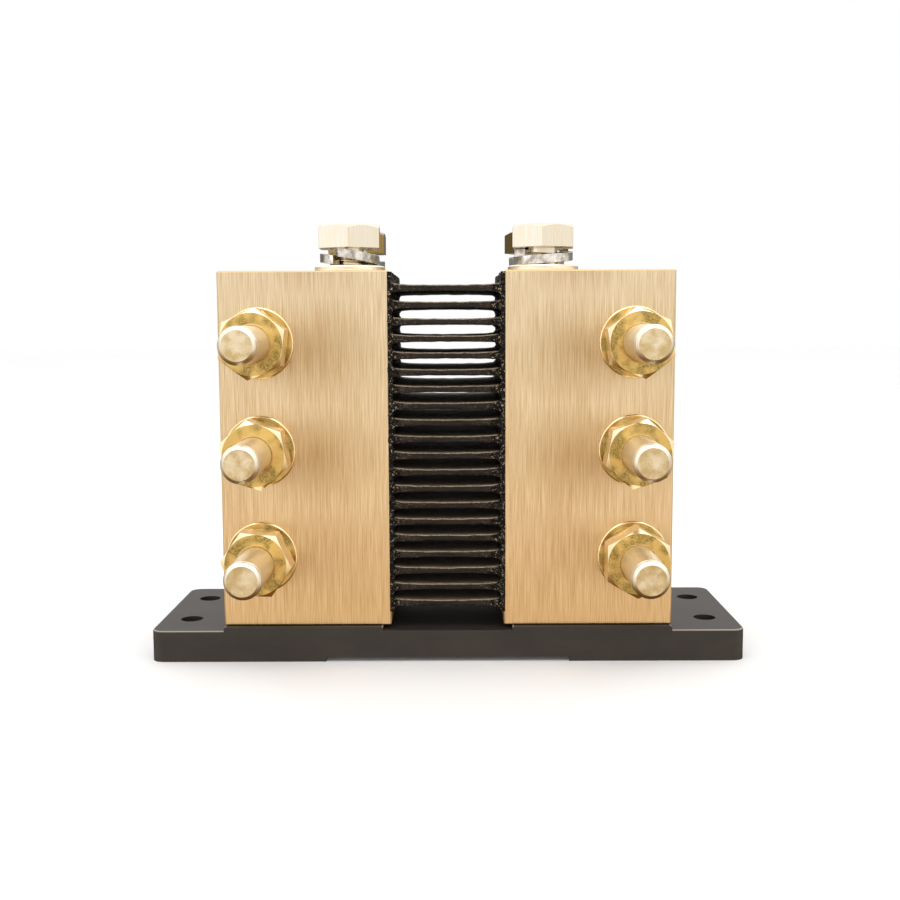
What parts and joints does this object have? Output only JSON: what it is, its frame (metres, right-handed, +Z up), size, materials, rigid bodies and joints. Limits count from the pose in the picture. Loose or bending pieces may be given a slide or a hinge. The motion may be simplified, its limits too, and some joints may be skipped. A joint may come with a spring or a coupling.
{
  "type": "battery monitor shunt",
  "caption": "High-current shunt: brass terminal blocks joined by a stack of resistor strips on a moulded base, with bolted terminals and screwed sense taps.",
  "frame": {"origin": "centre of the four mounting holes, on the underside of the base", "axes": "+X along the base from the left block to the right block, +Z up, -Y towards the ends of the terminal bolts"},
  "size_m": [0.1686, 0.0914, 0.1229],
  "materials": {
    "base_moulding": "moulded, fine matt texture",
    "block_brass": "brushed along the height",
    "painted_braze": "rough braze under black paint",
    "painted_strip": "brushed-on black paint",
    "spring_steel": "plated spring steel",
    "screw_steel": "zinc plated",
    "hardware_brass": "bright turned and polished"
  },
  "bodies": {
    "fixed_body": {"base_plate": "base_moulding", "base_screws": "screw_steel", "block_left": "block_brass", "block_right": "block_brass", "braze_left": "painted_braze", "braze_right": "painted_braze", "sense_washers": "hardware_brass", "strip_01": "painted_strip", "strip_02": "painted_strip", "strip_03": "painted_strip", "strip_04": "painted_strip", "strip_05": "painted_strip", "strip_06": "painted_strip", "strip_07": "painted_strip", "strip_08": "painted_strip", "strip_09": "painted_strip", "strip_10": "painted_strip", "strip_11": "painted_strip", "strip_12": "painted_strip", "strip_13": "painted_strip", "strip_14": "painted_strip", "strip_15": "painted_strip", "strip_16": "painted_strip", "strip_17": "painted_strip", "strip_18": "painted_strip", "strip_19": "painted_strip", "strip_20": "painted_strip", "terminal_bolt_left_bottom": "hardware_brass", "terminal_bolt_left_middle": "hardware_brass", "terminal_bolt_left_top": "hardware_brass", "terminal_bolt_right_bottom": "hardware_brass", "terminal_bolt_right_middle": "hardware_brass", "terminal_bolt_right_top": "hardware_brass", "terminal_front_washers": "hardware_brass", "terminal_rear_washers": "hardware_brass"},
    "spring_washer_left_top": {"terminal_spring_washer_left_top": "spring_steel"},
    "nut_left_top": {"terminal_nut_left_top": "hardware_brass"},
    "spring_washer_left_middle": {"terminal_spring_washer_left_middle": "spring_steel"},
    "nut_left_middle": {"terminal_nut_left_middle": "hardware_brass"},
    "spring_washer_left_bottom": {"terminal_spring_washer_left_bottom": "spring_steel"},
    "nut_left_bottom": {"terminal_nut_left_bottom": "hardware_brass"},
    "spring_washer_right_top": {"terminal_spring_washer_right_top": "spring_steel"},
    "nut_right_top": {"terminal_nut_right_top": "hardware_brass"},
    "spring_washer_right_middle": {"terminal_spring_washer_right_middle": "spring_steel"},
    "nut_right_middle": {"terminal_nut_right_middle": "hardware_brass"},
    "spring_washer_right_bottom": {"terminal_spring_washer_right_bottom": "spring_steel"},
    "nut_right_bottom": {"terminal_nut_right_bottom": "hardware_brass"},
    "sense_washer_left_front": {"sense_spring_washer_left_front": "spring_steel"},
    "sense_screw_left_front": {"sense_screw_left_front": "hardware_brass"},
    "sense_washer_left_back": {"sense_spring_washer_left_back": "spring_steel"},
    "sense_screw_left_back": {"sense_screw_left_back": "hardware_brass"},
    "sense_washer_right_front": {"sense_spring_washer_right_front": "spring_steel"},
    "sense_screw_right_front": {"sense_screw_right_front": "hardware_brass"},
    "sense_washer_right_back": {"sense_spring_washer_right_back": "spring_steel"},
    "sense_screw_right_back": {"sense_screw_right_back": "hardware_brass"}
  },
  "joints": [
    {"name": "nut_slide_left_top", "type": "slide", "parent": "fixed_body", "child": "spring_washer_left_top", "axis": [0, -1, 0], "range_m": [0, 0.0195]},
    {"name": "nut_turn_left_top", "type": "hinge", "parent": "spring_washer_left_top", "child": "nut_left_top", "pos_m": [-0.05225, -0.03764, 0.09], "axis": [0, -1, 0], "range_deg": [0, 4680]},
    {"name": "nut_slide_left_middle", "type": "slide", "parent": "fixed_body", "child": "spring_washer_left_middle", "axis": [0, -1, 0], "range_m": [0, 0.0195]},
    {"name": "nut_turn_left_middle", "type": "hinge", "parent": "spring_washer_left_middle", "child": "nut_left_middle", "pos_m": [-0.05225, -0.03764, 0.06], "axis": [0, -1, 0], "range_deg": [0, 4680]},
    {"name": "nut_slide_left_bottom", "type": "slide", "parent": "fixed_body", "child": "spring_washer_left_bottom", "axis": [0, -1, 0], "range_m": [0, 0.0195]},
    {"name": "nut_turn_left_bottom", "type": "hinge", "parent": "spring_washer_left_bottom", "child": "nut_left_bottom", "pos_m": [-0.05225, -0.03764, 0.03], "axis": [0, -1, 0], "range_deg": [0, 4680]},
    {"name": "nut_slide_right_top", "type": "slide", "parent": "fixed_body", "child": "spring_washer_right_top", "axis": [0, -1, 0], "range_m": [0, 0.0195]},
    {"name": "nut_turn_right_top", "type": "hinge", "parent": "spring_washer_right_top", "child": "nut_right_top", "pos_m": [0.05225, -0.03764, 0.09], "axis": [0, -1, 0], "range_deg": [0, 4680]},
    {"name": "nut_slide_right_middle", "type": "slide", "parent": "fixed_body", "child": "spring_washer_right_middle", "axis": [0, -1, 0], "range_m": [0, 0.0195]},
    {"name": "nut_turn_right_middle", "type": "hinge", "parent": "spring_washer_right_middle", "child": "nut_right_middle", "pos_m": [0.05225, -0.03764, 0.06], "axis": [0, -1, 0], "range_deg": [0, 4680]},
    {"name": "nut_slide_right_bottom", "type": "slide", "parent": "fixed_body", "child": "spring_washer_right_bottom", "axis": [0, -1, 0], "range_m": [0, 0.0195]},
    {"name": "nut_turn_right_bottom", "type": "hinge", "parent": "spring_washer_right_bottom", "child": "nut_right_bottom", "pos_m": [0.05225, -0.03764, 0.03], "axis": [0, -1, 0], "range_deg": [0, 4680]},
    {"name": "sense_slide_left_front", "type": "slide", "parent": "fixed_body", "child": "sense_washer_left_front", "axis": [0, 0, 1], "range_m": [0, 0.012]},
    {"name": "sense_turn_left_front", "type": "hinge", "parent": "sense_washer_left_front", "child": "sense_screw_left_front", "pos_m": [-0.0275, -0.0135, 0.1165], "axis": [0, 0, 1], "range_deg": [0, 2880]},
    {"name": "sense_slide_left_back", "type": "slide", "parent": "fixed_body", "child": "sense_washer_left_back", "axis": [0, 0, 1], "range_m": [0, 0.012]},
    {"name": "sense_turn_left_back", "type": "hinge", "parent": "sense_washer_left_back", "child": "sense_screw_left_back", "pos_m": [-0.0275, 0.0135, 0.1165], "axis": [0, 0, 1], "range_deg": [0, 2880]},
    {"name": "sense_slide_right_front", "type": "slide", "parent": "fixed_body", "child": "sense_washer_right_front", "axis": [0, 0, 1], "range_m": [0, 0.012]},
    {"name": "sense_turn_right_front", "type": "hinge", "parent": "sense_washer_right_front", "child": "sense_screw_right_front", "pos_m": [0.0275, -0.0135, 0.1165], "axis": [0, 0, 1], "range_deg": [0, 2880]},
    {"name": "sense_slide_right_back", "type": "slide", "parent": "fixed_body", "child": "sense_washer_right_back", "axis": [0, 0, 1], "range_m": [0, 0.012]},
    {"name": "sense_turn_right_back", "type": "hinge", "parent": "sense_washer_right_back", "child": "sense_screw_right_back", "pos_m": [0.0275, 0.0135, 0.1165], "axis": [0, 0, 1], "range_deg": [0, 2880]}
  ],
  "couplings": [
    {"joint": "nut_slide_left_top", "follows": "nut_turn_left_top", "m_per_rad": 0.00023873},
    {"joint": "nut_slide_left_middle", "follows": "nut_turn_left_middle", "m_per_rad": 0.00023873},
    {"joint": "nut_slide_left_bottom", "follows": "nut_turn_left_bottom", "m_per_rad": 0.00023873},
    {"joint": "nut_slide_right_top", "follows": "nut_turn_right_top", "m_per_rad": 0.00023873},
    {"joint": "nut_slide_right_middle", "follows": "nut_turn_right_middle", "m_per_rad": 0.00023873},
    {"joint": "nut_slide_right_bottom", "follows": "nut_turn_right_bottom", "m_per_rad": 0.00023873},
    {"joint": "sense_slide_left_front", "follows": "sense_turn_left_front", "m_per_rad": 0.00023873},
    {"joint": "sense_slide_left_back", "follows": "sense_turn_left_back", "m_per_rad": 0.00023873},
    {"joint": "sense_slide_right_front", "follows": "sense_turn_right_front", "m_per_rad": 0.00023873},
    {"joint": "sense_slide_right_back", "follows": "sense_turn_right_back", "m_per_rad": 0.00023873}
  ]
}
